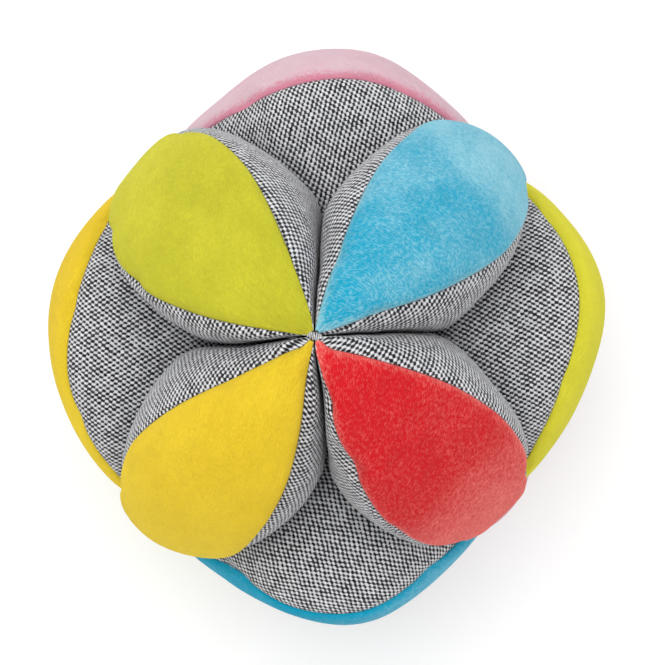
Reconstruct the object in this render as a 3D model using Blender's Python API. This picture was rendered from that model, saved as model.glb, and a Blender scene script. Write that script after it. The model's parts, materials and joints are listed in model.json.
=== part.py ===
"""Sewn grasping ball: twelve stuffed wedges tacked together where their tips meet.

The wedges lie along the edges of an octahedron and press on each other, so that each of its
eight faces becomes a finger pocket. A wedge is three lens-shaped pieces of cloth round a
filling: a plush one outside and a woven one on each side. The ball stands on the crowns of
its four base wedges, with one crossing straight up. Metres, +Z up, floor at z = 0.
"""
import math

import bmesh
import bpy
from mathutils import Matrix, Vector

# Ball
BALL_RADIUS = 0.0700  # ball centre to the crown of a wedge at mid span
CROSSING_RADIUS = 0.0570  # ball centre to the point where four tips meet
HOLLOW_RADIUS = 0.0160  # ball centre to the inner seam of a wedge at mid span

# Cross-section of a wedge at mid span, with depths measured outwards from the chord
# between its two tips
SEAM_DEPTH = 0.0220  # where the plush meets the woven sides
SEAM_HALF_WIDTH = 0.0181
BELLY_DEPTH = 0.0080  # where the sides are widest
BELLY_HALF_WIDTH = 0.0213
CAP_SEAM_RISE = 0.0035  # handles of the curve that draws the plush
CAP_SEAM_LEAN = 0.0016
CAP_CROWN_WIDTH = 0.0095
INNER_SEAM_SPREAD = 1.6  # half-width that the sides gain for each unit of depth there

# How the section shrinks towards the tips
SEAM_PINCH = 0.28  # share by which the plush lens narrows faster than the wedge
BELLY_SPAN_POWER = 0.62  # below 1 the sides stay full towards the tips
CORE_SHARE = 0.55  # middle of the filling, from the inner seam to the crown
CORE_REACH = 0.0210  # middle of the filling to the cloth, at mid span

# Cloth and clearances
PLUSH_THICKNESS = 0.0016
WEAVE_THICKNESS = 0.0010
GAP = 0.0003
SEAM_GAP = 0.00035
GATHER_SCALE = 0.30  # share of the section left open inside a gathered tip
GATHER_POWER = 20

# Tips and the thread that holds four of them
TIP_SETBACK = 0.0006  # crossing point to a tip's end, along the chord
THREAD_RADIUS = 0.0009
THREAD_REACH = 0.0045  # crossing point to the thread's inner end
KNOT_RADIUS = 0.0019
KNOT_EDGE = 0.0004
KNOT_DOME = 0.0014

# Play of a wedge about the line between its tips
ROCK_ANGLE = math.radians(3.0)
PRESS_ROUND = 0.0005  # rounding where a side turns into the face that a neighbour presses

REST_FLAT = 0.0005  # depth of the flats that the ball stands on

# Facets
HALF_SPANS = 6
CAP_SPANS = 6
SIDE_SPANS = 6
TACK_SIDES = 12

HALF_CHORD = CROSSING_RADIUS / math.sqrt(2)
CROWN_DEPTH = BALL_RADIUS - HALF_CHORD
CELL_WIDTH = CROSSING_RADIUS / 2
TIP_SPAN = 1 - TIP_SETBACK / HALF_CHORD
LOWEST_CROWN = CELL_WIDTH + math.hypot(CELL_WIDTH, CROWN_DEPTH / math.sqrt(2))
BALL_HEIGHT = LOWEST_CROWN - REST_FLAT

COLOURS = {
    "lime": (0.56, 0.55, 0.05),
    "blue": (0.11, 0.50, 0.67),
    "yellow": (0.84, 0.60, 0.04),
    "red": (0.68, 0.05, 0.05),
    "pink": (0.72, 0.46, 0.53),
    "weave": (0.24, 0.24, 0.24),
    "fibre": (0.85, 0.85, 0.83),
    "thread": (0.80, 0.78, 0.72),
}

UP = Vector((0, 0, 1))
EAST = Vector((1, 0, 0))
NORTH = Vector((0, 1, 0))

# Wedge name: the crossings at its two ends and the colour of its plush
WEDGES = {
    "top_east": (UP, EAST, "blue"),
    "top_north": (UP, NORTH, "lime"),
    "top_west": (UP, -EAST, "yellow"),
    "top_south": (UP, -NORTH, "red"),
    "side_northeast": (EAST, NORTH, "pink"),
    "side_northwest": (NORTH, -EAST, "yellow"),
    "side_southwest": (-EAST, -NORTH, "blue"),
    "side_southeast": (-NORTH, EAST, "lime"),
    "base_east": (-UP, EAST, "red"),
    "base_north": (-UP, NORTH, "blue"),
    "base_west": (-UP, -EAST, "lime"),
    "base_south": (-UP, -NORTH, "pink"),
}

CROSSINGS = {
    "top": UP,
    "base": -UP,
    "east": EAST,
    "north": NORTH,
    "west": -EAST,
    "south": -NORTH,
}


def clear_scene():
    for ob in list(bpy.data.objects):
        bpy.data.objects.remove(ob, do_unlink=True)


def make_material(name, roughness):
    mat = bpy.data.materials.new(name)
    mat.use_nodes = True
    shader = mat.node_tree.nodes["Principled BSDF"]
    shader.inputs["Base Color"].default_value = (*COLOURS[name], 1)
    shader.inputs["Roughness"].default_value = roughness
    shader.inputs["Metallic"].default_value = 0.0
    return mat


def fullness(u):
    """Share of the mid-span depth left at span u, from -1 to 1 between the crossings."""
    return math.sqrt(1 - u * u)


def smooth_least(values, blend):
    """Least of the values, with the change from one to the next rounded over the blend."""
    least = min(values)
    return least - blend * math.log(sum(math.exp((least - v) / blend) for v in values))


def seam_point(u):
    full = fullness(u)
    return SEAM_DEPTH * full, SEAM_HALF_WIDTH * full * (1 - SEAM_PINCH * u * u)


def inner_seam_depth(u):
    """Depth of the inner seam: round at mid span, then along the thread at the crossing."""
    hollow = HOLLOW_RADIUS / HALF_CHORD
    free = -HALF_CHORD * (1 - math.sqrt(u * u + hollow * hollow * fullness(u)))
    clear_of_thread = math.sqrt(2) * (THREAD_RADIUS + GAP - CELL_WIDTH * (1 - abs(u)))
    return max(free, clear_of_thread)


def room(u, depth):
    """Half-widths that clear the plane shared with a neighbour, rocked to and fro."""
    limits = []
    for turn in (ROCK_ANGLE, -ROCK_ANGLE):
        free = CELL_WIDTH * (1 - abs(u)) - GAP / math.sqrt(2)
        free += depth * (math.cos(turn) / math.sqrt(2) - math.sin(turn))
        limits.append(free / (math.cos(turn) + math.sin(turn) / math.sqrt(2)))
    return limits


def cap_outline(u, girth):
    """Plush outline (width, depth) at girth -1 to 1, a curve from the seam to the crown."""
    full = fullness(u)
    depth, width = seam_point(u)
    crown = CROWN_DEPTH * full
    narrow = width / SEAM_HALF_WIDTH
    handles = (
        (depth, width),
        (depth + CAP_SEAM_RISE * full, width - CAP_SEAM_LEAN * narrow),
        (crown, CAP_CROWN_WIDTH * narrow),
        (crown, 0),
    )
    start = SEAM_GAP / 2 / (3 * math.dist(handles[0], handles[1]))
    t = start + (1 - start) * (1 - abs(girth))
    r = 1 - t
    shares = (r ** 3, 3 * r * r * t, 3 * r * t * t, t ** 3)
    depth = sum(share * handle[0] for share, handle in zip(shares, handles))
    width = sum(share * handle[1] for share, handle in zip(shares, handles))
    if girth == 0:
        return 0.0, depth
    held = smooth_least([width, *room(u, depth)], PRESS_ROUND * full)
    return math.copysign(held, girth), depth


def side_outline(u, girth):
    """Woven outline (width, depth) at girth 0, the outer seam, to 1, the inner seam."""
    full = fullness(u)
    seam_depth, seam_width = seam_point(u)
    inner = inner_seam_depth(u)
    start = seam_depth - SEAM_GAP / 2
    end = inner + SEAM_GAP / 2 / INNER_SEAM_SPREAD
    depth = start + (end - start) * girth
    belly = BELLY_HALF_WIDTH * full ** BELLY_SPAN_POWER
    belly_depth = min(BELLY_DEPTH * full, seam_depth)
    above = max(0, depth - belly_depth) / (SEAM_DEPTH * full - belly_depth)
    bulge = belly - (belly - seam_width) * above ** 2
    spread = INNER_SEAM_SPREAD * (depth - inner)
    width = smooth_least([bulge, spread, *room(u, depth)], PRESS_ROUND * full)
    return max(width, SEAM_GAP / 2), depth


def skin_scale(u, thickness):
    """Share of the section left inside cloth of this thickness, gathered at the tips."""
    left = 1 - thickness / (CORE_REACH * fullness(u))
    gather = (abs(u) / TIP_SPAN) ** GATHER_POWER
    return left * (1 - gather) + GATHER_SCALE * gather


def core_depth(u):
    inner = inner_seam_depth(u)
    return inner + CORE_SHARE * (CROWN_DEPTH * fullness(u) - inner)


def place(u, outline_point, scale=1.0):
    """Point in a wedge's own frame: X along the chord, Y across, Z outwards."""
    width, depth = outline_point
    core = core_depth(u)
    return Vector((u * HALF_CHORD, width * scale, core + (depth - core) * scale))


def span_at(step):
    """Span of a station: steps are closer together towards the tips."""
    return TIP_SPAN * math.sin(math.pi / 2 * step / HALF_SPANS)


def evenly(first, last, count):
    return [first + (last - first) * i / count for i in range(count + 1)]


def face_quad(bm, corners):
    """Two triangles, split so that they bulge away from the middle of the filling."""
    a, b, c, d = (vert.co for vert in corners)
    span = (a.x + b.x + c.x + d.x) / 4 / HALF_CHORD
    outward = (a + b + c + d) / 4 - place(span, (0.0, core_depth(span)))
    if outward.dot(a + c - b - d) > 0:
        halves = (corners[0], corners[1], corners[2]), (corners[0], corners[2], corners[3])
    else:
        halves = (corners[1], corners[2], corners[3]), (corners[1], corners[3], corners[0])
    for half in halves:
        bm.faces.new(half)


def face_grid(bm, rows, flip=False):
    for low, high in zip(rows, rows[1:]):
        for j in range(len(low) - 1):
            corners = (low[j], low[j + 1], high[j + 1], high[j])
            face_quad(bm, corners[::-1] if flip else corners)


def border(rows):
    """Vertices round the edge of a grid, in order."""
    right = [row[-1] for row in rows]
    left = [row[0] for row in rows]
    return rows[0][:-1] + right[:-1] + rows[-1][:0:-1] + left[:0:-1]


def panel_body(outline, girths, thickness):
    """A piece of cloth: a fine outer face, an inner face of half as many spans, and a rim."""
    bm = bmesh.new()
    steps = range(-HALF_SPANS, HALF_SPANS + 1)
    outer = []
    inner = []
    for step in steps:
        u = span_at(step)
        outer.append([bm.verts.new(place(u, outline(u, g))) for g in girths])
        if step % 2 == 0:
            scale = skin_scale(u, thickness)
            inner.append([bm.verts.new(place(u, outline(u, g), scale)) for g in girths[::2]])
    face_grid(bm, outer)
    face_grid(bm, inner, flip=True)
    outside = border(outer)
    inside = border(inner)
    for i, corner in enumerate(inside):
        follow = [outside[(2 * i + k) % len(outside)] for k in range(3)]
        bm.faces.new((corner, inside[(i + 1) % len(inside)], follow[2], follow[1], follow[0]))
    return bm


def finish_mesh(bm, name):
    bmesh.ops.triangulate(bm, faces=bm.faces[:])
    bmesh.ops.recalc_face_normals(bm, faces=bm.faces[:])
    mesh = bpy.data.meshes.new(name)
    bm.to_mesh(mesh)
    bm.free()
    mesh.shade_smooth()
    mesh.set_sharp_from_angle(angle=math.radians(50))
    return mesh


def plush_mesh(name, rests):
    bm = panel_body(cap_outline, evenly(1, -1, CAP_SPANS), PLUSH_THICKNESS)
    if rests:
        cut_rest_flat(bm)
    return finish_mesh(bm, name)


def cut_rest_flat(bm):
    """Flat where a base wedge stands; its chord climbs at 45 degrees from the base tip."""
    down = Vector((-1, 0, 1)).normalized()
    ground = down * (BALL_HEIGHT - HALF_CHORD / math.sqrt(2))
    bmesh.ops.recalc_face_normals(bm, faces=bm.faces[:])
    everything = bm.verts[:] + bm.edges[:] + bm.faces[:]
    cut = bmesh.ops.bisect_plane(bm, geom=everything, plane_co=ground, plane_no=down,
                                 clear_outer=True)
    rim = [item for item in cut["geom_cut"] if isinstance(item, bmesh.types.BMEdge)]
    bmesh.ops.contextual_create(bm, geom=rim)


def side_mesh(name, hand):
    """Woven side on the +Y or -Y hand of a wedge."""

    def outline(u, girth):
        width, depth = side_outline(u, girth)
        return hand * width, depth

    return finish_mesh(panel_body(outline, evenly(0, 1, SIDE_SPANS), WEAVE_THICKNESS), name)


def fibre_ring(u):
    """Section of the filling, clear of the cloth all round."""
    air = GAP / (CORE_REACH * fullness(u))
    under_plush = skin_scale(u, PLUSH_THICKNESS) - air
    under_weave = skin_scale(u, WEAVE_THICKNESS) - air
    side = [side_outline(u, girth) for girth in evenly(0, 1, SIDE_SPANS)[2:-1:2]]
    ring = [place(u, cap_outline(u, girth), under_plush)
            for girth in evenly(-1, 1, CAP_SPANS)[::2]]
    ring += [place(u, point, under_weave) for point in side]
    ring.append(place(u, (0.0, inner_seam_depth(u)), under_weave))
    ring += [place(u, (-width, depth), under_weave) for width, depth in side[::-1]]
    return ring


def fibre_mesh():
    """Filling, closed by a point at each end."""
    bm = bmesh.new()
    last = HALF_SPANS - 2
    rows = [[bm.verts.new(point) for point in fibre_ring(span_at(step))]
            for step in range(-last, last + 1, 2)]
    face_grid(bm, [row + row[:1] for row in rows])
    count = len(rows[0])
    end_span = (span_at(last) + span_at(last + 1)) / 2
    for row, u in ((rows[0], -end_span), (rows[-1], end_span)):
        point = bm.verts.new(place(u, (0.0, core_depth(u))))
        for j in range(count):
            bm.faces.new((row[j], row[(j + 1) % count], point))
    return finish_mesh(bm, "filling")


def tack_profile():
    """Radii and heights of the thread and its knot, seated in the funnel of four tips."""
    slack = math.sqrt(2) * (TIP_SETBACK - GAP)
    seat = KNOT_RADIUS - slack
    shoulder = math.radians(45)
    return [
        (0, seat + KNOT_EDGE + KNOT_DOME),
        (KNOT_RADIUS * math.cos(shoulder), seat + KNOT_EDGE + KNOT_DOME * math.sin(shoulder)),
        (KNOT_RADIUS, seat + KNOT_EDGE),
        (KNOT_RADIUS, seat),
        (THREAD_RADIUS, THREAD_RADIUS - slack),
        (THREAD_RADIUS, THREAD_RADIUS / 2 - THREAD_REACH),
        (THREAD_RADIUS / 2, -THREAD_REACH),
        (0, -THREAD_REACH),
    ]


def tack_mesh():
    bm = bmesh.new()
    rings = []
    for radius, height in tack_profile():
        sides = TACK_SIDES if radius else 1
        turns = evenly(0, 2 * math.pi, sides)[:-1]
        rings.append([bm.verts.new((radius * math.cos(a), radius * math.sin(a), height))
                      for a in turns])
    for upper, lower in zip(rings, rings[1:]):
        for i in range(TACK_SIDES):
            k = i + 1
            corners = (upper[i % len(upper)], lower[i % len(lower)],
                       lower[k % len(lower)], upper[k % len(upper)])
            bm.faces.new(list(dict.fromkeys(corners)))
    return finish_mesh(bm, "tack")


def add_object(name, mesh, material, parent=None):
    ob = bpy.data.objects.new(name, mesh)
    bpy.context.scene.collection.objects.link(ob)
    if not mesh.materials:
        mesh.materials.append(None)
    ob.material_slots[0].link = "OBJECT"
    ob.material_slots[0].material = material
    ob.parent = parent
    return ob


def hinge_frame(name, start, end):
    """Empty on the line between a wedge's tips: X along it, Z outwards."""
    along = (end - start).normalized()
    outward = (start + end).normalized()
    across = outward.cross(along)
    turn = Matrix((along, across, outward)).transposed().to_4x4()
    middle = outward * HALF_CHORD + UP * BALL_HEIGHT
    frame = bpy.data.objects.new(f"hinge_{name}", None)
    frame.empty_display_size = HALF_CHORD
    frame.matrix_world = Matrix.Translation(middle) @ turn
    bpy.context.scene.collection.objects.link(frame)
    return frame


def add_wedges():
    plush = plush_mesh("outer_panel", rests=False)
    plush_resting = plush_mesh("outer_panel_resting", rests=True)
    left = side_mesh("left_side", 1)
    right = side_mesh("right_side", -1)
    fibre = fibre_mesh()
    plush_materials = {colour: make_material(colour, 0.9)
                       for colour in ("lime", "blue", "yellow", "red", "pink")}
    weave_material = make_material("weave", 0.85)
    fibre_material = make_material("fibre", 0.95)
    for name, (start, end, colour) in WEDGES.items():
        frame = hinge_frame(name, start, end)
        outer = plush_resting if start == -UP else plush
        add_object(f"plush_{name}", outer, plush_materials[colour], frame)
        add_object(f"weave_{name}_left", left, weave_material, frame)
        add_object(f"weave_{name}_right", right, weave_material, frame)
        add_object(f"fibre_{name}", fibre, fibre_material, frame)


def add_tacks():
    mesh = tack_mesh()
    thread = make_material("thread", 0.7)
    for name, direction in CROSSINGS.items():
        tack = add_object(f"tack_{name}", mesh, thread)
        tack.rotation_mode = "QUATERNION"
        tack.rotation_quaternion = UP.rotation_difference(direction)
        tack.location = direction * CROSSING_RADIUS + UP * BALL_HEIGHT


def main():
    clear_scene()
    add_wedges()
    add_tacks()


main()
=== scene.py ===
"""Looks of the sewn grasping ball: stuffed plush and woven wedges, tacked at their tips.

Every wedge gets one closed skin of cloth. Its drawn outline is stuffed by a cloth simulation,
pressed flat where its neighbours lie against it, drawn in along its seams and then cut into
the plush panel and the two woven sides. Metres, +Z up, floor at z = 0.
"""
import json
import math
from dataclasses import dataclass

import bpy
import numpy as np
from bpy.props import FloatProperty, FloatVectorProperty, PointerProperty
from mathutils import Matrix, Vector, noise


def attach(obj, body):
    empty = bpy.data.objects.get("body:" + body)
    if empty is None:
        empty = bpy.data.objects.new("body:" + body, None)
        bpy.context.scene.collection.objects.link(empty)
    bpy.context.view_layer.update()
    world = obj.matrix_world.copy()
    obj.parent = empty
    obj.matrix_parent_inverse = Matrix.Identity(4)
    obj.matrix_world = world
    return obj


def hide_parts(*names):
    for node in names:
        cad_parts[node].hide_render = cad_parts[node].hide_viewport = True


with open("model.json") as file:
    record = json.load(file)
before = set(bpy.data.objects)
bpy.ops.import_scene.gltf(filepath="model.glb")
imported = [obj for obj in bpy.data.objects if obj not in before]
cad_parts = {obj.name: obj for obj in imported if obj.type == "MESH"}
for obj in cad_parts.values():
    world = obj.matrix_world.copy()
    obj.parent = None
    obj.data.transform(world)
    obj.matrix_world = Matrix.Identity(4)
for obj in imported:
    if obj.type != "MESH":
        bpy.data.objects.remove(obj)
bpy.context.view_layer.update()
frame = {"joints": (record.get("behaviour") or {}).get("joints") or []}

bl_info = {
    "name": "Sewn Grasping Ball",
    "version": (1, 0, 0),
    "blender": (4, 5, 0),
    "location": "View3D > Sidebar > Grasping Ball",
    "description": "Makes the stuffed wedges, the thread and the stage of a sewn baby ball",
    "category": "Add Mesh",
}

MILLIMETRE = 0.001

# Places read from the frame
JOINTS = {joint["child"]: joint for joint in frame["joints"]}
BALL_CENTRE = sum((Vector(joint["pos_m"]) for joint in JOINTS.values()), Vector()) / len(JOINTS)
HALF_CHORD = (Vector(JOINTS["wedge_top_east"]["pos_m"]) - BALL_CENTRE).length
CELL_WIDTH = HALF_CHORD / math.sqrt(2)
CROSSING_RADIUS = HALF_CHORD * math.sqrt(2)
UP = Vector((0, 0, 1))
CROSSINGS = {
    "top": UP,
    "base": -UP,
    "east": Vector((1, 0, 0)),
    "north": Vector((0, 1, 0)),
    "west": Vector((-1, 0, 0)),
    "south": Vector((0, -1, 0)),
}

# Outline of a wedge that a user seldom changes
HOLLOW_RADIUS = 0.0160  # of the space that the inner seams leave free at mid span
CAP_SEAM_RISE = 0.0035
CAP_SEAM_LEAN = 0.0016
CAP_CROWN_WIDTH = 0.0095
INNER_SEAM_SPREAD = 1.6
INNER_ROUND = 0.0010
START_ROUND = 0.0008
LEAST_START = 0.1  # share of its width that the plush keeps where it starts narrower
SEAM_PINCH = 0.28
SEAM_SLOPE = 0.5  # half-width lost for each unit by which a seam is sewn farther out
BELLY_SPAN_POWER = 0.62
CORE_SHARE = 0.55  # depth of the filling's middle, from the inner seam to the crown
TIP_SETBACK = 0.00008
THREAD_RADIUS = 0.0004
GAP = 0.0002  # clearance between wedges
ROCK_ANGLE = math.radians(3.0)
SHARED_ROCK = 0.7  # share of that angle kept clear beside neighbours that turn alike
PRESS_ROUND = 0.0016
CLOTH_ROUND = 0.0002
TIP_SPAN = 1 - TIP_SETBACK / HALF_CHORD
FOLD_REACH = 0.00030  # how far pressed sides wave about the plane that they share
FOLD_PITCH = 0.0110
FOLD_SWAY = 0.2  # how far a fold strays from a straight line, in turns of its wave
FLOOR_GAP = 0.0001
SIDE_LEAD = 0.0003  # how far one of two sides stands past that plane
PUSH_REACH = 0.0140  # distance from a crossing at which these have grown to their full size
ROLL_START = 0.0060
FAR_ROLL_END = 0.6  # place along the wedge where the roll has changed to the far one
BELLY_RISE = 0.30  # how much nearer the seams the widest part lies towards the tips
BELLY_TIP_RISE = 0.25

# Points of a skin: stations along the wedge, and columns round it
SPANS = 64
CAP_COLUMNS = 32
SIDE_COLUMNS = 24
SEAM_CROWDING = 0.62  # share by which columns crowd towards the seams
INNER_STEP = 2  # outer faces for each inner face of a panel
SHARP_ANGLE = math.radians(60)
TINY = 1e-12
LEFT_SEAM = 0
RIGHT_SEAM = CAP_COLUMNS
INNER_SEAM = CAP_COLUMNS + SIDE_COLUMNS
RING = CAP_COLUMNS + 2 * SIDE_COLUMNS
EVERY_SEAM = (LEFT_SEAM, RIGHT_SEAM, INNER_SEAM)

# Stuffing
STUFF_SCALE = 10  # cloth is simulated this many times larger, where its solver is steady
STUFF_FRAMES = 20
START_SHARE = 0.985  # share of the drawn section that the skin swells from
MOST_MOVE = 0.0040
LUMP_SIZE = 0.0140
LUMP_HEIGHT = 0.0005
LUMP_SHIFT = (3.7, 1.3, 2.1)  # from the lumps of one wedge to those of the next
CLOTH_SETTINGS = {
    "quality": 6,
    "mass": 0.15,
    "tension_stiffness": 12,
    "compression_stiffness": 12,
    "shear_stiffness": 4,
    "bending_stiffness": 0.4,
    "use_pressure": True,
    "shrink_max": 0.012,
}

# Seams and cloth
SEAM_SINK = 0.0005
SEAM_ROLL = 0.0011
PLUSH_RISE = 0.0007
PLUSH_ROLL = 0.0016
PLUSH_THICKNESS = 0.0016
WEAVE_THICKNESS = 0.0010
SEAM_GAP = 0.00006
MOST_PULL = 0.4  # most that this gap takes of the last row of faces
SEAM_THICKNESS = 0.00015
THICKENING = 0.5  # how fast a panel thickens with the distance from a seam
TIP_THICKNESS = 0.05  # share of a panel's thickness that is left at the tips
TIP_POWER = 14


@dataclass
class Wedge:
    """What sets one wedge apart: lengths in metres, angles in degrees, pairs left and right."""
    colour: str
    finish: str = ""  # the colour's own finish if empty
    crown: float = 1.0  # share of the drawn crown's depth
    point: float = 0.0  # how much faster than drawn the crown falls away from its peak
    peak: float = 0.0  # place of the crown's peak, from -1 to 1 along the wedge
    first_tuck: float = 0.0  # share of the depth that is lost beside the first tip
    second_tuck: float = 0.0
    wide: float = 1.0  # share of the drawn width of the plush
    fuller: float = 0.0  # share by which the plush grows wider towards the second tip
    roll: float = 0.0  # turn of the outer half about the line of the tips, to the left
    far_roll: float = 0.0  # how much more it is turned beside the second tip
    belly: tuple = (1.0, 1.0)  # share of the drawn half-width of the sides
    seam: tuple = (0.0, 0.0)  # how much farther out than drawn the two seams are sewn
    start: tuple = (0.0, 0.0)  # how much narrower each half of the plush starts
    push: tuple = (0.0, 0.0)  # how far each side pushes its neighbour at the first tip
    far_push: tuple = (0.0, 0.0)  # the same at the second tip
    turns_alike: bool = True  # its neighbours at the first tip rock the same way round
    seam_point: float = 0.0  # point and peak of the seams' depth
    seam_peak: float = 0.0
    nap: float = 0.0  # way that the pile lies, from the line of the tips
    weave: tuple = (0.0, 0.0)  # way that the weft runs


WEDGES = {
    "top_east": Wedge(
        "blue", crown=1.01, point=0.05, wide=1.03, fuller=0.07, far_roll=4.0, start=(0, 0.0006),
        push=(-0.0016, -0.0006), far_push=(-0.0004, -0.0022), nap=79, weave=(80, -86)),
    "top_north": Wedge(
        "lime", crown=0.855, point=0.07, wide=1.11, fuller=-0.05, roll=5.0, belly=(1.0, 1.12),
        push=(0.0022, 0.0016), far_push=(0.0002, 0.0042), nap=25, weave=(90, -58)),
    "top_west": Wedge(
        "yellow", crown=0.985, point=-0.05, wide=1.06, fuller=0.10, roll=11.5, far_roll=6.0,
        belly=(1.14, 1.0), start=(0, 0.0025), push=(0.0020, -0.0022), far_push=(0.0042, -0.0020),
        nap=-23, weave=(-64, 86)),
    "top_south": Wedge(
        "red", crown=0.84, point=0.17, wide=1.06, roll=-5.0, belly=(1.0, 1.07),
        start=(0.0034, -0.0008), push=(0.0006, -0.0020), far_push=(-0.0006, 0.0020), nap=64,
        weave=(75, 105)),
    "side_northeast": Wedge(
        "pink", crown=1.050, point=0.36, peak=-0.08, second_tuck=0.46, seam=(0.0014, 0),
        push=(0.0004, 0), far_push=(-0.0042, 0), seam_point=0.28, seam_peak=-0.13, nap=20,
        weave=(72, 98), turns_alike=False),
    "side_northwest": Wedge(
        "yellow", crown=0.945, point=0.16, peak=-0.09, seam=(0.0009, 0), push=(-0.0002, 0),
        far_push=(0.0020, 0), seam_point=0.17, seam_peak=0.16, nap=-15, weave=(96, 102),
        turns_alike=False),
    # The lower rim: its blue plush is painted in shade.
    "side_southwest": Wedge(
        "blue", finish="blue rim", crown=1.038, point=0.52, peak=0.11, first_tuck=0.04,
        second_tuck=0.18, seam=(0.0067, -0.0020), push=(-0.0042, 0), far_push=(-0.0020, 0),
        seam_point=0.33, seam_peak=0.07, nap=40, weave=(44, 81), turns_alike=False),
    "side_southeast": Wedge(
        "lime", finish="lime rim", crown=0.975, point=0.28, peak=0.19, first_tuck=0.42,
        seam=(0.0010, 0), push=(0.0006, 0), far_push=(0.0022, 0), seam_point=0.27, seam_peak=0.22,
        nap=-30, weave=(84, 95), turns_alike=False),
    "base_east": Wedge("red", point=0.12, roll=3.0, nap=35, weave=(78, 98)),
    "base_north": Wedge("blue", crown=0.99, point=0.20, roll=-2.0, nap=-52, weave=(93, 71)),
    "base_west": Wedge("lime", point=0.15, roll=2.0, nap=12, weave=(85, 110)),
    "base_south": Wedge("pink", crown=0.98, point=0.10, roll=-3.0, nap=-71, weave=(64, 87)),
}


@dataclass
class Finish:
    """How the pile of one plush looks, its painted sheen and painted seam light included: shares
    from 0 to 1.
    """
    pale: float  # how pale it is all over
    streaks: float  # contrast of the brushed streaks
    patches: float  # contrast of the larger patches that lie another way
    painted_end_sheen: float  # painted sheen: how much paler the pile is painted towards the far end of the panel
    painted_seam_lighting: float  # painted light along the seams, where the plush curves away; painted shade there where negative


# The last two shares paint light: painted sheen towards the far end of a panel, and painted light
# along its seams, turned to painted shade where negative, as on the pink.
FINISHES = {
    "lime": Finish(0.05, 0.30, 0.25, 0.25, 0.05),
    "lime rim": Finish(0.80, 0.30, 0.25, 0.10, 0.10),
    "blue": Finish(-0.04, 0.50, 0.32, 0.48, 0.55),
    # Painted shade: the blue of the lower rim, a darker copy of the blue plush, darkest along its
    # seams.
    "blue rim": Finish(-0.10, 0.30, 0.10, 0.30, -0.25),
    "yellow": Finish(0.20, 0.25, 0.20, 0.35, 0.10),
    "red": Finish(-0.22, 0.50, 0.14, 0.60, 0.45),
    "pink": Finish(0.70, 0.25, 0.20, 0.00, -0.90),
}

skins = {}  # points of each wedge's finished skin


def a_length(name, description, default):
    return FloatProperty(name=name, description=description, default=default,
                         unit="LENGTH", subtype="DISTANCE")


def an_angle(name, description, degrees):
    return FloatProperty(name=name, description=description, default=math.radians(degrees),
                         unit="ROTATION", subtype="ANGLE")


def a_share(name, description, default, least, most):
    return FloatProperty(name=name, description=description, default=default,
                         min=least, max=most)


def a_colour(name, description, red, green, blue):
    return FloatVectorProperty(name=name, description=description, subtype="COLOR",
                               default=(red, green, blue), min=0.0, max=1.0)


class BallSizes(bpy.types.PropertyGroup):
    ball_radius: a_length("Ball radius", "Ball centre to the crown of a wedge", 0.0700)
    seam_depth: a_length("Seam depth", "Line of the tips to the plush seam at mid span", 0.0220)
    seam_half_width: a_length("Seam half-width", "Half the width of the plush at mid span", 0.0181)
    belly_share: a_share(
        "Belly depth", "Depth of the widest part, as a share of the seam depth", 0.36, 0.1, 0.6)
    belly_half_width: a_length(
        "Belly half-width", "Half the width of the sides at mid span", 0.0213)
    pressure: a_share("Stuffing pressure", "Pressure of the filling on the cloth", 4.0, 0.0, 20.0)
    float_length: a_length("Float length", "Length of a light thread where it shows", 0.00097)
    weft_pitch: a_length("Weft pitch", "Light thread to light thread", 0.00065)
    stitch_radius: a_length("Stitch radius", "Radius of the thread that holds the tips", 0.00020)


class BallColours(bpy.types.PropertyGroup):
    lime: a_colour("Lime", "Lime pile seen end on", 0.520, 0.505, 0.030)
    lime_pale: a_colour("Lime, brushed", "Lime pile laid flat", 0.760, 0.710, 0.046)
    blue: a_colour("Blue", "Blue pile seen end on", 0.004, 0.360, 0.560)
    blue_pale: a_colour("Blue, brushed", "Blue pile laid flat", 0.330, 0.660, 0.770)
    yellow: a_colour("Yellow", "Yellow pile seen end on", 0.820, 0.550, 0.022)
    yellow_pale: a_colour("Yellow, brushed", "Yellow pile laid flat", 0.930, 0.690, 0.042)
    red: a_colour("Red", "Red pile seen end on", 0.660, 0.010, 0.018)
    red_pale: a_colour("Red, brushed", "Red pile laid flat", 0.980, 0.250, 0.215)
    pink: a_colour("Pink", "Pink pile seen end on", 0.780, 0.270, 0.370)
    pink_pale: a_colour("Pink, brushed", "Pink pile laid flat", 0.740, 0.540, 0.600)
    weft: a_colour("Weft thread", "Colour of the light thread", 0.650, 0.655, 0.690)
    warp: a_colour("Warp thread", "Colour of the dark thread", 0.010, 0.010, 0.012)
    filling: a_colour("Filling", "Colour of the loose fibre", 0.800, 0.800, 0.780)
    stitch: a_colour("Stitches", "Colour of the sewing thread", 0.640, 0.640, 0.650)


class StageSettings(bpy.types.PropertyGroup):
    distance: a_length("Camera distance", "Camera to the middle of the ball", 0.750)
    frame_width: a_length(
        "Frame width", "Width of the picture at the middle of the ball", 0.16567)
    turn: an_angle("Camera turn", "Turn of the picture's right side from east", -45.9)
    lean_right: an_angle("Lean right", "Lean of the camera off plumb, to the picture's right", 2.4)
    lean_up: an_angle("Lean up", "Lean of the camera off plumb, to the picture's top", -0.35)
    aim_right: a_length(
        "Aim right", "Middle of the picture, to the right of the ball's", 0.00174)
    aim_up: a_length("Aim up", "Middle of the picture, above the ball's", 0.00112)
    key_power: FloatProperty(name="Key light", description="Power of the large lamp",
                             default=4.4, unit="POWER")
    sky: a_share("Room light", "Strength of the light from all round", 0.92, 0.0, 2.0)


# Outline of a wedge

def fullness(u):
    return np.sqrt(1 - u * u)


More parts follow.
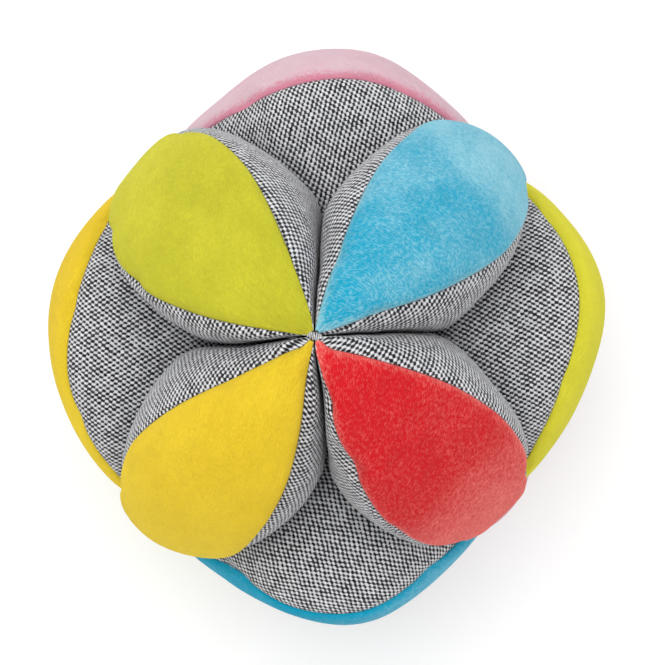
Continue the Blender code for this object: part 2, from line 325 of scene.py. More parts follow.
def profile(wedge, u, point, peak):
    """Share of a full depth along the wedge: 1 at its peak and 0 at the tips."""
    v = u - peak * (1 - u * u) ** 2
    tuck = np.where(u < 0, wedge.first_tuck, wedge.second_tuck) * v ** 4
    return fullness(v) * (1 - point * v * v * (1 - v ** 6)) * (1 - tuck)


def eased(value):
    """From 0 to 1 like the value, with a soft start and end."""
    value = np.clip(value, 0, 1)
    return value * value * (3 - 2 * value)


def lengths(vectors):
    """Length of each vector, never quite 0."""
    return np.maximum(np.linalg.norm(vectors, axis=-1, keepdims=True), TINY)


def sided(pair, hand):
    """The first of two values on the left side, the second on the right one."""
    return np.where(hand > 0, *pair)


def smooth_least(values, blend):
    """Least of the values, with the change from one to the next rounded over the blend."""
    least = np.minimum.reduce(np.broadcast_arrays(*values))
    return least - blend * np.log(sum(np.exp((least - v) / blend) for v in values))


def crown_depth(size, wedge, u):
    full_depth = (size.ball_radius - HALF_CHORD) * wedge.crown
    return full_depth * profile(wedge, u, wedge.point, wedge.peak)


def seam_line(size, wedge, u, hand):
    """Depth and half-width of a plush seam."""
    full = fullness(u)
    shift = sided(wedge.seam, hand)
    depth = size.seam_depth * profile(wedge, u, wedge.seam_point, wedge.seam_peak)
    depth = depth + shift * full ** 3
    narrow = wedge.wide * full * (1 - SEAM_PINCH * u * u) * (1 + wedge.fuller * u)
    width = size.seam_half_width * narrow - SEAM_SLOPE * shift * full ** 3
    started = sided(wedge.start, hand) * np.clip(-u, 0, 1) ** 4
    return depth, -smooth_least([started - width, -LEAST_START * width], START_ROUND * full)


def inner_seam_depth(u):
    hollow = HOLLOW_RADIUS / HALF_CHORD
    free = -HALF_CHORD * (1 - np.sqrt(u * u + hollow * hollow * fullness(u)))
    clear_of_thread = math.sqrt(2) * (THREAD_RADIUS + GAP - CELL_WIDTH * (1 - abs(u)))
    return np.maximum(free, clear_of_thread)


def shared_shift(wedge, u, depth, hand):
    """How far a side stands past the plane that it shares; its neighbour gives way as much."""
    height = CELL_WIDTH * (1 + abs(u)) + depth / math.sqrt(2)
    reach = np.maximum(CELL_WIDTH * (1 - abs(u)) + depth / math.sqrt(2), 0)
    sway = np.sin(2 * math.pi * reach / (1.6 * FOLD_PITCH))
    turns = height / FOLD_PITCH + FOLD_SWAY * sway
    fold = SIDE_LEAD + FOLD_REACH * np.sin(2 * math.pi * turns)
    first = sided(wedge.push, hand)
    second = sided(wedge.far_push, hand)
    push = first + (second - first) * (u > 0)
    return eased(reach / PUSH_REACH) * (push - np.sign(u) * hand * fold)


def room(wedge, u, depth, hand):
    """Half-widths that clear the plane shared with a neighbour, rocked to and fro."""
    rock = ROCK_ANGLE * np.where((u < 0) & wedge.turns_alike, SHARED_ROCK, 1.0)
    limits = []
    for turn in (rock, -rock):
        free = CELL_WIDTH * (1 - abs(u)) - GAP / math.sqrt(2)
        free = free + depth * (np.cos(turn) / math.sqrt(2) - np.sin(turn))
        limits.append(free / (np.cos(turn) + np.sin(turn) / math.sqrt(2)))
    return np.minimum(*limits) + shared_shift(wedge, u, depth, hand)


def held(wedge, u, across, depth, round_off):
    """Sideways places that keep clear of the neighbours on both sides."""
    hand = np.where(across < 0, -1, 1)
    blend = round_off * fullness(u) + 0.00001
    width = smooth_least([abs(across), room(wedge, u, depth, hand)], blend)
    return hand * np.maximum(width, 0)


def crowded(share):
    """Columns from 0 to 1 that crowd towards both ends."""
    return share - SEAM_CROWDING * np.sin(2 * math.pi * share) / (2 * math.pi)


def half_cap(size, wedge, u, share, hand):
    """Plush outline from the seam, at share 0, to the crown, at share 1."""
    full = fullness(u)
    depth, width = seam_line(size, wedge, u, hand)
    crown = crown_depth(size, wedge, u)
    narrow = width / size.seam_half_width
    rise = np.minimum(CAP_SEAM_RISE * full, 0.6 * (crown - depth))
    handles = (
        (depth, width),
        (depth + rise, width - CAP_SEAM_LEAN * narrow),
        (crown, CAP_CROWN_WIDTH * narrow),
        (crown, 0 * width),
    )
    r = 1 - share
    shares = (r ** 3, 3 * r * r * share, 3 * r * share * share, share ** 3)
    depth = sum(part * handle[0] for part, handle in zip(shares, handles))
    width = sum(part * handle[1] for part, handle in zip(shares, handles))
    return hand * width, depth


def side(size, wedge, u, share, hand):
    """Woven outline from the outer seam, at share 0, to the inner seam, at share 1."""
    full = fullness(u)
    seam_depth, seam_width = seam_line(size, wedge, u, hand)
    inner = inner_seam_depth(u)
    depth = seam_depth + (inner - seam_depth) * share
    contact = seam_depth * (size.belly_share + BELLY_RISE * u ** 2 + BELLY_TIP_RISE * u ** 8)
    share_out = 1 + (sided(wedge.belly, hand) - 1) * full ** 4
    belly = size.belly_half_width * share_out * full ** BELLY_SPAN_POWER
    belly = smooth_least([belly, room(wedge, u, contact, hand)], PRESS_ROUND * full)
    above = np.maximum(0, depth - contact) / (seam_depth - contact)
    bulge = belly - (belly - seam_width) * above ** 2
    spread = INNER_SEAM_SPREAD * (depth - inner)
    width = smooth_least([bulge, spread], INNER_ROUND * full)
    return hand * np.maximum(width, 0), depth


def core_depth(size, wedge, u):
    inner = inner_seam_depth(u)
    return inner + CORE_SHARE * (crown_depth(size, wedge, u) - inner)


def stations():
    steps = np.linspace(-1, 1, SPANS + 1)
    return TIP_SPAN * np.sin(math.pi / 2 * steps)[:, None]


def drawn_skin(size, wedge):
    """Points of the closed outline, stations by columns, in the wedge's own frame."""
    u = stations()
    half = CAP_COLUMNS // 2
    cap_shares = crowded(np.linspace(0, 1, CAP_COLUMNS + 1))
    rise = 2 * cap_shares[None, :half + 1]
    side_shares = crowded(np.linspace(0, 1, SIDE_COLUMNS + 1))[None, :]
    left_cap = half_cap(size, wedge, u, rise, 1)
    right_cap = half_cap(size, wedge, u, rise[:, ::-1], -1)
    right_side = side(size, wedge, u, side_shares, -1)
    left_side = side(size, wedge, u, side_shares[:, ::-1], 1)
    width, depth = (
        np.hstack((a, b[:, 1:], c[:, 1:], d[:, 1:-1]))
        for a, b, c, d in zip(left_cap, right_cap, right_side, left_side)
    )
    span = np.broadcast_to(u * HALF_CHORD, width.shape)
    return rolled(wedge, np.stack((span, width, depth), axis=2))


def rolled(wedge, skin):
    """The skin with its outer half turned about the line of the tips."""
    u = stations()
    angle = np.radians(wedge.roll + wedge.far_roll * eased(u / FAR_ROLL_END))
    turn = angle * (1 - u ** 8) * eased((skin[:, :, 2] + ROLL_START) / (2 * ROLL_START))
    out = skin.copy()
    out[:, :, 1] = skin[:, :, 1] * np.cos(turn) + skin[:, :, 2] * np.sin(turn)
    out[:, :, 2] = skin[:, :, 2] * np.cos(turn) - skin[:, :, 1] * np.sin(turn)
    out[:, :, 1] = held(wedge, u, out[:, :, 1], out[:, :, 2], PRESS_ROUND)
    return out


# Stuffing

def shrunk(size, wedge, skin, share):
    """The skin drawn in towards the middle of the filling."""
    core = np.zeros((len(skin), 1, 3))
    u = stations()
    core[:, 0, 0] = (u * HALF_CHORD)[:, 0]
    core[:, 0, 2] = core_depth(size, wedge, u)[:, 0]
    return core + (skin - core) * share


def lumps(skin, seed):
    """Uneven stuffing: how far each point stands out or in, in metres."""
    shift = Vector([seed * part for part in LUMP_SHIFT])
    flat = skin.reshape(-1, 3) / LUMP_SIZE
    heights = [noise.noise(Vector(point) + shift) for point in flat]
    return LUMP_HEIGHT * np.array(heights).reshape(skin.shape[:2])


def normals(skin):
    """Outward directions of a closed skin."""
    along = np.gradient(skin, axis=0)
    around = np.roll(skin, -1, axis=1) - np.roll(skin, 1, axis=1)
    out = np.cross(around, along)
    return out / lengths(out)


def linked(name, data):
    """A new object in the scene."""
    ob = bpy.data.objects.new(name, data)
    bpy.context.scene.collection.objects.link(ob)
    return ob


def new_mesh(name, points, faces):
    mesh = bpy.data.meshes.new(name)
    mesh.from_pydata([tuple(point) for point in points], [], faces)
    return mesh


def ring_faces(rows, columns):
    return [
        (i * columns + j, i * columns + (j + 1) % columns,
         (i + 1) * columns + (j + 1) % columns, (i + 1) * columns + j)
        for i in range(rows - 1) for j in range(columns)
    ]


def end_faces(rows, columns):
    last = (rows - 1) * columns
    return [tuple(range(columns))[::-1], tuple(range(last, last + columns))]


def add_group(ob, name, indices):
    group = ob.vertex_groups.new(name=name)
    group.add([int(i) for i in indices], 1.0, "REPLACE")
    return name


def cloth_object(name, points, pressure):
    """A closed skin at a larger scale, with Blender's cloth on it and its tips held."""
    rows, columns = points.shape[:2]
    faces = ring_faces(rows, columns) + end_faces(rows, columns)
    ob = linked(name, new_mesh(name, (points.reshape(-1, 3) * STUFF_SCALE).tolist(), faces))
    index = np.arange(rows * columns).reshape(rows, columns)
    seams = index[:, [seam // 2 for seam in EVERY_SEAM]]
    cloth = ob.modifiers.new("Cloth", "CLOTH")
    settings = cloth.settings
    for key, value in CLOTH_SETTINGS.items():
        setattr(settings, key, value)
    settings.uniform_pressure_force = pressure
    settings.effector_weights.gravity = 0
    settings.vertex_group_mass = add_group(ob, "tips", index[[0, 1, -2, -1]].ravel())
    settings.vertex_group_shrink = add_group(ob, "seams", seams.ravel())
    cloth.collision_settings.use_collision = False
    cloth.point_cache.frame_start = 1
    cloth.point_cache.frame_end = STUFF_FRAMES
    return ob


def stuffed(size, drawn):
    """How far the filling moves each second point of each drawn skin."""
    starts = {}
    for seed, (name, skin) in enumerate(drawn.items()):
        start = shrunk(size, WEDGES[name], skin, START_SHARE)
        start = start + normals(skin) * lumps(skin, seed)[:, :, None]
        starts[name] = start[::2, ::2]
    cloths = {name: cloth_object(f"stuffing_{name}", start, size.pressure)
              for name, start in starts.items()}
    for step in range(1, STUFF_FRAMES + 1):
        bpy.context.scene.frame_set(step)
    graph = bpy.context.evaluated_depsgraph_get()
    moves = {}
    for name, ob in cloths.items():
        mesh = ob.evaluated_get(graph).to_mesh()
        found = np.empty(len(mesh.vertices) * 3)
        mesh.vertices.foreach_get("co", found)
        end = found.reshape(starts[name].shape) / STUFF_SCALE
        move = end - drawn[name][::2, ::2]
        moves[name] = move * np.minimum(1, MOST_MOVE / lengths(move))
        bpy.data.objects.remove(ob)
    bpy.context.scene.frame_set(1)
    return moves


def between(rows):
    """Twice as many rows, with a smooth curve through the old ones."""
    padded = np.concatenate((2 * rows[:1] - rows[1:2], rows, 2 * rows[-1:] - rows[-2:-1]))
    middle = (9 * (padded[1:-2] + padded[2:-1]) - padded[:-3] - padded[3:]) / 16
    out = np.empty((len(rows) * 2 - 1, *rows.shape[1:]))
    out[::2] = rows
    out[1::2] = middle
    return out


def refined(moves):
    """Moves of each second point, brought to every point of the skin."""
    along = between(moves)
    wrapped = np.concatenate((along[:, -3:], along, along[:, :4]), axis=1)
    return between(wrapped.swapaxes(0, 1)).swapaxes(0, 1)[:, 6:6 + RING]


def tip_taper():
    """Share of a cloth's thickness that is left towards the gathered tips."""
    return 1 - (abs(stations()) / TIP_SPAN) ** TIP_POWER


def pressed(wedge, skin):
    """The skin kept on its own side of the planes shared with its neighbours."""
    u = np.clip(skin[:, :, 0] / HALF_CHORD, -TIP_SPAN, TIP_SPAN)
    out = skin.copy()
    out[:, :, 1] = held(wedge, u, skin[:, :, 1], skin[:, :, 2], CLOTH_ROUND)
    return out


def rested(name, skin):
    """The skin with what would dip into the floor pressed flat on it."""
    place = np.array(wedge_frame(name))
    turn, middle = place[:3, :3], place[:3, 3]
    world = skin @ turn.T + middle
    world[:, :, 2] = -smooth_least([-world[:, :, 2], -FLOOR_GAP], FLOOR_GAP)
    return (world - middle) @ turn


def seam_distance(skin, seams):
    """Distance round the skin from each point to the nearest of these seams."""
    steps = np.linalg.norm(np.roll(skin, -1, axis=1) - skin, axis=2)
    travelled = np.concatenate((np.zeros((len(skin), 1)), np.cumsum(steps, axis=1)), axis=1)
    girth = travelled[:, -1:]
    travelled = travelled[:, :-1]
    nearest = np.full(skin.shape[:2], 1.0)
    for seam in seams:
        apart = abs(travelled - travelled[:, seam:seam + 1])
        nearest = np.minimum(nearest, np.minimum(apart, girth - apart))
    return nearest


def drawn_in(skin):
    """The skin with its seams sunk and its plush standing up by the length of the pile."""
    outer = seam_distance(skin, (LEFT_SEAM, RIGHT_SEAM))
    every = seam_distance(skin, EVERY_SEAM)
    taper = tip_taper()
    sink = SEAM_SINK * np.exp(-(every / SEAM_ROLL))
    rise = PLUSH_RISE * (1 - np.exp(-(outer / PLUSH_ROLL) ** 2))
    rise[:, CAP_COLUMNS + 1:] = 0
    return skin + normals(skin) * ((rise - sink) * taper)[:, :, None]


def make_skins(size):
    drawn = {name: drawn_skin(size, wedge) for name, wedge in WEDGES.items()}
    moves = stuffed(size, drawn)
    for name, skin in drawn.items():
        full = refined(moves[name]) * tip_taper()[:, :, None]
        skins[name] = rested(name, pressed(WEDGES[name], drawn_in(skin + full)))


# Panels cut from a skin

@dataclass
class Cut:
    """A piece of cloth between two seams of a skin."""
    columns: list
    thickness: float
    spine: int  # the column that lies straight when the cloth is flat
    hand: int  # 1 for a left side, -1 for a right side and 0 for the plush


SIDE_SPINE = 2 * SIDE_COLUMNS // 5
PLUSH_CUT = Cut([*range(RIGHT_SEAM + 1)], PLUSH_THICKNESS, CAP_COLUMNS // 2, 0)
RIGHT_CUT = Cut([*range(RIGHT_SEAM, INNER_SEAM + 1)], WEAVE_THICKNESS, SIDE_SPINE, -1)
LEFT_CUT = Cut([*range(INNER_SEAM, RING), LEFT_SEAM], WEAVE_THICKNESS,
               SIDE_COLUMNS - SIDE_SPINE, 1)


def border(rows):
    """Entries round the edge of a grid, in order."""
    return np.concatenate((rows[0, :-1], rows[:-1, -1], rows[-1, :0:-1], rows[:0:-1, 0]))


def grid_faces(index):
    corners = (index[:-1, :-1], index[:-1, 1:], index[1:, 1:], index[1:, :-1])
    return np.stack(corners, axis=2).reshape(-1, 4).tolist()


def pulled_in(points, gap):
    """The panel with its long edges drawn back from the seams by the gap."""
    out = points.copy()
    for edge, inside in ((0, 1), (-1, -2)):
        toward = points[:, inside] - points[:, edge]
        out[:, edge] += toward * np.minimum(gap / lengths(toward), MOST_PULL)
    return out


def panel_mesh(name, skin, cut):
    """The closed piece of cloth, with its outer face fine, and the points of both faces."""
    columns = cut.columns
    out = normals(skin)
    outer = pulled_in(skin[:, columns], SEAM_GAP)
    keep = np.ix_(range(0, SPANS + 1, INNER_STEP), range(0, len(columns), INNER_STEP))
    near = seam_distance(skin, EVERY_SEAM)[:, columns]
    depth = cut.thickness * (TIP_THICKNESS + (1 - TIP_THICKNESS) * tip_taper())
    depth = np.minimum(depth, SEAM_THICKNESS + THICKENING * near)
    inner = (outer - out[:, columns] * depth[:, :, None])[keep]
    outer_index = np.arange(outer[:, :, 0].size).reshape(outer.shape[:2])
    inner_index = outer_index.size + np.arange(inner[:, :, 0].size).reshape(inner.shape[:2])
    faces = grid_faces(outer_index) + [face[::-1] for face in grid_faces(inner_index)]
    outside = border(outer_index)
    inside = border(inner_index)
    for i, corner in enumerate(inside):
        follow = [outside[(INNER_STEP * i + k) % len(outside)] for k in range(INNER_STEP, -1, -1)]
        faces.append([corner, inside[(i + 1) % len(inside)], *follow])
    points = np.concatenate((outer.reshape(-1, 3), inner.reshape(-1, 3)))
    mesh = new_mesh(name, points.tolist(), [[int(i) for i in face] for face in faces])
    mesh.shade_smooth()
    mesh.set_sharp_from_angle(angle=SHARP_ANGLE)
    return mesh, outer, inner


def running_length(points, start):
    """Distance along a row of points from its start, negative before it."""
    steps = np.linalg.norm(np.diff(points, axis=0), axis=-1)
    total = np.concatenate((np.zeros((1, *steps.shape[1:])), np.cumsum(steps, axis=0)))
    return total - total[start]


def cloth_place(outer, cut, turn):
    """Place of each point on the cloth that the panel was cut from, laid flat."""
    along = running_length(outer[:, cut.spine, :2], SPANS // 2)[:, None]
    across = running_length(outer.swapaxes(0, 1), cut.spine).T
    across = across + cut.hand * outer[:, cut.spine, 2][:, None]
    along = np.broadcast_to(along, across.shape)
    c, s = math.cos(turn), math.sin(turn)
    return np.stack((along * c + across * s, across * c - along * s, 0 * across), axis=2)


def store(mesh, name, outer_values, inner_count):
    """Keeps values of the outer face's points, in millimetres, for the materials to read."""
    values = outer_values.reshape(-1, 3) / MILLIMETRE
    data = np.concatenate((values, np.zeros((inner_count, 3)))).astype(np.float32).ravel()
    layer = mesh.attributes.new(name, "FLOAT_VECTOR", "POINT")
    layer.data.foreach_set("vector", data)


def wedge_frame(name):
    """A wedge's own frame: X along its hinge, Z outwards, from the middle of the chord."""
    joint = JOINTS[f"wedge_{name}"]
    middle = Vector(joint["pos_m"])
    along = Vector(joint["axis"]).normalized()
    outward = (middle - BALL_CENTRE).normalized()
    turn = Matrix((along, outward.cross(along), outward)).transposed().to_4x4()
    return Matrix.Translation(middle) @ turn


def add_piece(name, mesh, material, body, place, replaces):
    mesh.transform(place)
    mesh.materials.append(material)
    ob = linked(name, mesh)
    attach(ob, body)
    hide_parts(replaces)
    return ob


def add_panel(name, wedge_name, replaces, material, cut, turn):
    """One panel of a wedge, its cloth turned by so many degrees."""
    skin = skins[wedge_name]
    mesh, outer, inner = panel_mesh(name, skin, cut)
    spare = inner[:, :, 0].size
    store(mesh, "cloth_place", cloth_place(outer, cut, math.radians(turn)), spare)
    near = seam_distance(skin, EVERY_SEAM)[:, cut.columns]
    store(mesh, "panel_place", np.stack((near, outer[:, :, 0], outer[:, :, 1]), axis=2), spare)
    body = f"wedge_{wedge_name}"
    ob = add_piece(name, mesh, material, body, wedge_frame(wedge_name), replaces)


def add_plush(colours):
    materials = {}
    for key, finish in FINISHES.items():
        colour = key.split()[0]
        materials[key] = plush_material(f"plush {key}", getattr(colours, colour),
                                        getattr(colours, f"{colour}_pale"), finish)
    for name, wedge in WEDGES.items():
        add_panel(f"plush_panel_{name}", name, f"plush_{name}",
                  materials[wedge.finish or wedge.colour], PLUSH_CUT, wedge.nap)


def add_sides(size, colours):
    material = weave_material("black and white weave", size, colours)
    for name, wedge in WEDGES.items():
        for hand, cut in (("right", RIGHT_CUT), ("left", LEFT_CUT)):
            add_panel(f"woven_side_{name}_{hand}", name, f"weave_{name}_{hand}",
                      material, cut, float(sided(wedge.weave, cut.hand)))


# Materials

PILE_RELIEF = 0.0007
PAINTED_SEAM_LIGHTING_WIDTH = 3.2  # width of the painted seam light (painted shade where negative), in millimetres, like all places that a material reads
CREASE_WIDTH = 0.5
WEAVE_CREASE_WIDTH = 0.45
CREASE_SHADE = 0.15
PAINTED_SHEEN_START, PAINTED_SHEEN_END = -12.0, 26.0  # where along a panel the painted sheen grows
WEAVE_RELIEF = 0.00018
FIBRE_RELIEF = 0.0010
THREAD_RELIEF = 0.0001


def new_material(name, roughness, specular=0.25):
    material = bpy.data.materials.new(name)
    material.use_nodes = True
    tree = material.node_tree
    shader = tree.nodes["Principled BSDF"]
    feed(tree, shader, Roughness=roughness, Specular_IOR_Level=specular)
    return material, tree, shader


def feed(tree, node, **sockets):
    """Links or sets a node's inputs, by name with _ for a space, or by number after a _."""
    for key, value in sockets.items():
        label = int(key[1:]) if key[1:].isdigit() else key.replace("_", " ")
        socket = node.inputs[label]
        if isinstance(value, bpy.types.NodeSocket):
            tree.links.new(value, socket)
        else:
            socket.default_value = value
    return node


def add_node(tree, kind, **values):
    """A new node; values that start with a small letter are settings, the others inputs."""
    node = tree.nodes.new(kind)
    for key in [key for key in values if key[0].islower()]:
        setattr(node, key, values.pop(key))
    return feed(tree, node, **values)


def calc(tree, operation, first, second=0.0, third=0.0):
    node = add_node(tree, "ShaderNodeMath", operation=operation, _0=first, _1=second, _2=third)
    return node.outputs[0]


def vector_calc(tree, operation, first, second):
    node = add_node(tree, "ShaderNodeVectorMath", operation=operation, _0=first, _1=second)
    return node.outputs["Vector"]


def noise_of(tree, place, scale, detail=2.0, roughness=0.5):
    return add_node(tree, "ShaderNodeTexNoise", Vector=place, Scale=scale, Detail=detail,
                    Roughness=roughness).outputs


def stepped(tree, value, low, high):
    """0 below low, 1 above high and smooth between."""
    node = add_node(tree, "ShaderNodeMapRange", interpolation_type="SMOOTHSTEP", Value=value,
                    From_Min=low, From_Max=high)
    return node.outputs["Result"]


def split(tree, vector):
    return add_node(tree, "ShaderNodeSeparateXYZ", Vector=vector).outputs


def mixed(tree, share, first, second):
    """A colour between the first and the second one."""
    node = add_node(tree, "ShaderNodeMix", data_type="RGBA", _0=share, _6=first, _7=second)
    return node.outputs[2]


def start_group(name, inputs, outputs):
    """An empty node group that takes a place and these values, and puts out these masks."""
    tree = bpy.data.node_groups.new(name, "ShaderNodeTree")
    tree.interface.new_socket("Place", in_out="INPUT", socket_type="NodeSocketVector")
    for label, default in inputs.items():
        socket = tree.interface.new_socket(label, in_out="INPUT", socket_type="NodeSocketFloat")
        socket.default_value = default
    for label in outputs:
        tree.interface.new_socket(label, in_out="OUTPUT", socket_type="NodeSocketFloat")
    given = tree.nodes.new("NodeGroupInput").outputs
    return tree, given, tree.nodes.new("NodeGroupOutput")


def place_group(tree, name, **values):
    """Outputs of a shared group, which is made when it is first needed."""
    group = bpy.data.node_groups.get(name) or GROUPS[name](name)
    return add_node(tree, "ShaderNodeGroup", node_tree=group, **values).outputs


def pushed(tree, place, drift, amount):
    """The place, moved to and fro by a noise."""
    centred = vector_calc(tree, "SUBTRACT", drift["Color"], (0.5, 0.5, 0.5))
    push = add_node(tree, "ShaderNodeVectorMath", operation="SCALE", _0=centred, Scale=amount)
    return vector_calc(tree, "ADD", place, push.outputs["Vector"])


def uneven(tree, value, contrast):
    """A value from 0 to 1 made to vary about 0."""
    return calc(tree, "MULTIPLY_ADD", value, contrast, -contrast / 2)


def pile_group(name):
    """Short brushed pile: fine streaks along the nap, tufts and patches that lie another way."""
    inputs = {"Streak Scale": 4.2, "Streak Length": 3.6, "Swirl": 1.8, "Patch Scale": 0.060}
    tree, given, out = start_group(name, inputs, ("Streaks", "Patches", "Height"))
    bent = pushed(tree, given["Place"], noise_of(tree, given["Place"], 0.16, 2.0, 0.45),
                  given["Swirl"])
    shrink = add_node(tree, "ShaderNodeCombineXYZ", Y=1.0, Z=1.0,
                      X=calc(tree, "DIVIDE", 1.0, given["Streak Length"]))
    along = vector_calc(tree, "MULTIPLY", bent, shrink.outputs["Vector"])
    fine = noise_of(tree, along, given["Streak Scale"], 3.0, 0.62)
    tufts = noise_of(tree, bent, 0.9)
    streaks = calc(tree, "MULTIPLY_ADD", tufts["Fac"], 0.24,
                   calc(tree, "MULTIPLY", fine["Fac"], 0.76))
    patches = noise_of(tree, given["Place"], given["Patch Scale"])
    feed(tree, out, Streaks=stepped(tree, streaks, 0.40, 0.64),
         Patches=stepped(tree, patches["Fac"], 0.35, 0.68), Height=streaks)
    return tree


def weave_group(name):
    """Plain weave of thick light weft and thin dark warp, each light float a little aslant, with a
    mask for a painted highlight in the middle of each float.
    """
    inputs = {"Weft Pitch": 0.65, "Float Length": 0.97, "Wander": 0.9, "Slant": -0.05,
              "Weft Share": 0.14}
    outputs = ("Weft", "Height", "Float Light", "Thread Tone")
    tree, given, out = start_group(name, inputs, outputs)
    bent = pushed(tree, given["Place"], noise_of(tree, given["Place"], 0.28, 4.0, 0.65),
                  given["Wander"])
    parts = split(tree, bent)
    float_count = calc(tree, "DIVIDE", parts["X"], given["Float Length"])
    lean = calc(tree, "SINE", calc(tree, "MULTIPLY", float_count, 2 * math.pi))
    row = calc(tree, "DIVIDE", parts["Y"], given["Weft Pitch"])
    row = calc(tree, "MULTIPLY_ADD", lean, given["Slant"], row)
    waves = [calc(tree, "COSINE", calc(tree, "MULTIPLY", count, math.pi))
             for count in (float_count, row)]
    over = calc(tree, "MULTIPLY", *waves)
    spun = uneven(tree, noise_of(tree, bent, 1.1, 3.0, 0.70)["Fac"], 1.9)
    blotched = uneven(tree, noise_of(tree, given["Place"], 0.30, 2.0, 0.6)["Fac"], 1.2)
    shown = calc(tree, "ADD", calc(tree, "ADD", over, calc(tree, "ADD", spun, blotched)),
                 given["Weft Share"])
    height = calc(tree, "POWER", calc(tree, "ABSOLUTE", over), 0.5)
    cell = add_node(tree, "ShaderNodeCombineXYZ", X=calc(tree, "ROUND", float_count),
                    Y=calc(tree, "ROUND", row))
    chance = add_node(tree, "ShaderNodeTexWhiteNoise", noise_dimensions="2D",
                      Vector=cell.outputs["Vector"])
    # The float mask is a painted highlight: high in the middle of each light float, falling off to
    # its edges.
    feed(tree, out, Weft=stepped(tree, shown, -0.14, 0.14), Height=height,
         Float_Light=stepped(tree, shown, -0.05, 0.75), Thread_Tone=chance.outputs["Value"])
    return tree


def crease_group(name):
    """Ragged band beside a seam, from the distance to it and a width in millimetres."""
    tree, given, out = start_group(name, {"Distance": 1.0, "Width": 1.2}, ("Crease",))
    ragged = noise_of(tree, given["Place"], 1.3)
    reach = calc(tree, "MULTIPLY", ragged["Fac"], 2.0)
    far = calc(tree, "DIVIDE", given["Distance"], calc(tree, "MULTIPLY", given["Width"], reach))
    feed(tree, out, Crease=calc(tree, "SUBTRACT", 1.0, stepped(tree, far, 0.0, 1.0)))
    return tree


GROUPS = {"Short pile": pile_group, "Plain weave": weave_group, "Seam crease": crease_group}


def attribute(tree, name):
    """Values that the panel's points carry."""
    node = add_node(tree, "ShaderNodeAttribute", attribute_type="GEOMETRY", attribute_name=name)
    return node.outputs["Vector"]


def bumped(tree, shader, height, distance):
    bump = add_node(tree, "ShaderNodeBump", Height=height, Distance=distance)
    feed(tree, shader, Normal=bump.outputs["Normal"])


def darker(colour, share):
    return (*(part * share for part in colour), 1)


def paler(colour, share):
    return (*(part + (1 - part) * share for part in colour), 1)


def creased(tree, colour, shade, **band):
    """The colour with painted shade, a little darker in the crease of a seam."""
    crease = place_group(tree, "Seam crease", **band)
    return mixed(tree, calc(tree, "MULTIPLY", crease["Crease"], CREASE_SHADE), colour, shade)


def plush_material(name, deep, pale, finish):
    """Brushed pile between two colours, paler in streaks and patches, with painted sheen along it,
    painted light at its seams (painted shade where that share is negative) and painted shade in
    their crease.
    """
    material, tree, shader = new_material(name, 0.85, 0.10)
    place = attribute(tree, "cloth_place")
    panel = split(tree, attribute(tree, "panel_place"))
    band = {"Place": place, "Distance": panel["X"]}
    pile = place_group(tree, "Short pile", Place=place)
    # Band of painted light along the seams, painted shade where the finish's share is negative.
    painted_seam_lighting = place_group(tree, "Seam crease", Width=PAINTED_SEAM_LIGHTING_WIDTH, **band)
    share = calc(tree, "MULTIPLY_ADD", pile["Streaks"], finish.streaks, finish.pale)
    # Real patches of the nap, then painted sheen towards the far end and the painted seam light.
    for source, amount in ((pile["Patches"], finish.patches),
                           (stepped(tree, panel["Y"], PAINTED_SHEEN_START, PAINTED_SHEEN_END), finish.painted_end_sheen),
                           (painted_seam_lighting["Crease"], finish.painted_seam_lighting)):
        share = calc(tree, "MULTIPLY_ADD", source, amount, share)
    # Real streaks and patches of the pile, with painted sheen and painted seam light mixed in.
    brushed_and_painted_light = mixed(tree, stepped(tree, share, -0.1, 1.1), (*deep, 1), (*pale, 1))
    # Painted shade in the seam crease.
    shown = creased(tree, brushed_and_painted_light, darker(deep, 0.6), Width=CREASE_WIDTH, **band)
    feed(tree, shader, Base_Color=shown, Sheen_Weight=0.16, Sheen_Roughness=0.40,
         Sheen_Tint=paler(pale, 0.3))
    bumped(tree, shader, pile["Height"], PILE_RELIEF)
    return material


def weave_material(name, size, colours):
    """Woven cloth, of which the light threads cover more where it is seen aslant: partly the
    raised floats hiding the warp, partly painted light on the slanting sides.
    """
    material, tree, shader = new_material(name, 0.85, 0.10)
    place = attribute(tree, "cloth_place")
    seam = split(tree, attribute(tree, "panel_place"))["X"]
    weave = place_group(tree, "Plain weave", Place=place,
                        Weft_Pitch=size.weft_pitch / MILLIMETRE,
                        Float_Length=size.float_length / MILLIMETRE)
    tone = weave["Thread Tone"]
    # Painted highlight and shade on each float: paler in its middle, darker at its edges.
    float_painted_shading = mixed(tree, weave["Float Light"], darker(colours.weft, 0.42),
                    paler(colours.weft, 0.30))
    light = mixed(tree, calc(tree, "MULTIPLY", tone, 0.32), float_painted_shading, darker(colours.weft, 0.5))
    dark = mixed(tree, tone, darker(colours.warp, 0.7), paler(colours.warp, 0.03))
    # Lighter where seen aslant: partly real, as raised floats hide the warp, and partly painted
    # light on the slanting sides.
    slant = add_node(tree, "ShaderNodeLayerWeight", Blend=0.35).outputs["Facing"]
    aslant_cover_and_painted_light = calc(tree, "MULTIPLY", stepped(tree, slant, 0.40, 1.0),
                   calc(tree, "ADD", tone, 0.1))
    threads = mixed(tree, calc(tree, "MAXIMUM", weave["Weft"], aslant_cover_and_painted_light), dark, light)
    # Painted shade in the seam crease, towards the dark warp.
    shown = creased(tree, threads, (*colours.warp, 1), Width=WEAVE_CREASE_WIDTH, Place=place,
                    Distance=seam)
    feed(tree, shader, Base_Color=shown, Sheen_Weight=0.25, Sheen_Roughness=0.45)
    bumped(tree, shader, weave["Height"], WEAVE_RELIEF)
    return material


